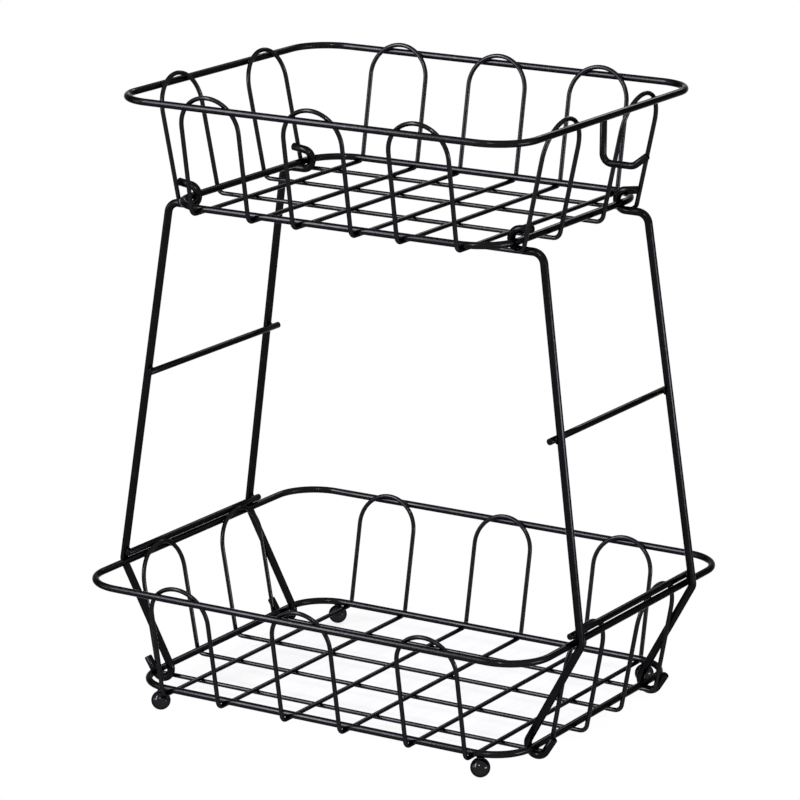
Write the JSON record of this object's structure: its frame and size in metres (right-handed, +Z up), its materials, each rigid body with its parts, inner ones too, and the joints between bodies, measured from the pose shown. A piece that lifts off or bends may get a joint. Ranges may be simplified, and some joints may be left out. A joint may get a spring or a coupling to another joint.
{
  "type": "fruit basket",
  "caption": "Tiered wire fruit basket: a small open tray of bent wire loops held above a larger one by hooked side frames, with ball feet and a hanging hook.",
  "frame": {"origin": "on the floor plane, under the centre of the lower tray", "axes": "+Z up, +X to the right side, where the hanging hook is, +Y to the back; the front faces -Y"},
  "size_m": [0.366, 0.285, 0.4315],
  "materials": {
    "lower_rim": "black satin powder coat over steel wire",
    "lower_base_ring": "black satin powder coat over steel wire",
    "lower_front_back_loop_left": "black satin powder coat over steel wire",
    "lower_front_back_loop_middle": "black satin powder coat over steel wire",
    "lower_front_back_loop_right": "black satin powder coat over steel wire",
    "lower_side_loop_front": "black satin powder coat over steel wire",
    "lower_side_loop_rear": "black satin powder coat over steel wire",
    "foot_front_left": "black satin powder coat over steel wire",
    "foot_front_right": "black satin powder coat over steel wire",
    "foot_rear_left": "black satin powder coat over steel wire",
    "foot_rear_right": "black satin powder coat over steel wire",
    "upper_rim": "black satin powder coat over steel wire",
    "upper_base_ring": "black satin powder coat over steel wire",
    "upper_front_back_loop_left": "black satin powder coat over steel wire",
    "upper_front_back_loop_middle": "black satin powder coat over steel wire",
    "upper_front_back_loop_right": "black satin powder coat over steel wire",
    "upper_side_loop_front": "black satin powder coat over steel wire",
    "upper_side_loop_rear": "black satin powder coat over steel wire",
    "side_hook": "black satin powder coat over steel wire",
    "left_leg_front": "black satin powder coat over steel wire",
    "left_leg_rear": "black satin powder coat over steel wire",
    "left_lower_rung": "black satin powder coat over steel wire",
    "left_mid_rung": "black satin powder coat over steel wire",
    "right_leg_front": "black satin powder coat over steel wire",
    "right_leg_rear": "black satin powder coat over steel wire",
    "right_lower_rung": "black satin powder coat over steel wire",
    "right_mid_rung": "black satin powder coat over steel wire"
  },
  "bodies": {
    "lower_tray": {"lower_rim": "lower_rim", "lower_base_ring": "lower_base_ring", "lower_front_back_loop_left": "lower_front_back_loop_left", "lower_front_back_loop_middle": "lower_front_back_loop_middle", "lower_front_back_loop_right": "lower_front_back_loop_right", "lower_side_loop_front": "lower_side_loop_front", "lower_side_loop_rear": "lower_side_loop_rear", "foot_front_left": "foot_front_left", "foot_front_right": "foot_front_right", "foot_rear_left": "foot_rear_left", "foot_rear_right": "foot_rear_right"},
    "upper_tray": {"upper_rim": "upper_rim", "upper_base_ring": "upper_base_ring", "upper_front_back_loop_left": "upper_front_back_loop_left", "upper_front_back_loop_middle": "upper_front_back_loop_middle", "upper_front_back_loop_right": "upper_front_back_loop_right", "upper_side_loop_front": "upper_side_loop_front", "upper_side_loop_rear": "upper_side_loop_rear", "side_hook": "side_hook"},
    "left_frame": {"left_leg_front": "left_leg_front", "left_leg_rear": "left_leg_rear", "left_lower_rung": "left_lower_rung", "left_mid_rung": "left_mid_rung"},
    "right_frame": {"right_leg_front": "right_leg_front", "right_leg_rear": "right_leg_rear", "right_lower_rung": "right_lower_rung", "right_mid_rung": "right_mid_rung"}
  },
  "joints": [
    {"name": "left_frame_squeeze", "type": "hinge", "parent": "lower_tray", "child": "left_frame", "pos_m": [-0.175, 0, 0.09], "axis": [0, 1, 0], "range_deg": [0, 1.3]},
    {"name": "right_frame_squeeze", "type": "hinge", "parent": "lower_tray", "child": "right_frame", "pos_m": [0.175, 0, 0.09], "axis": [0, -1, 0], "range_deg": [0, 1.3]},
    {"name": "upper_tray_lift", "type": "slide", "parent": "lower_tray", "child": "upper_tray", "axis": [0, 0, 1], "range_m": [0, 0.002]}
  ]
}
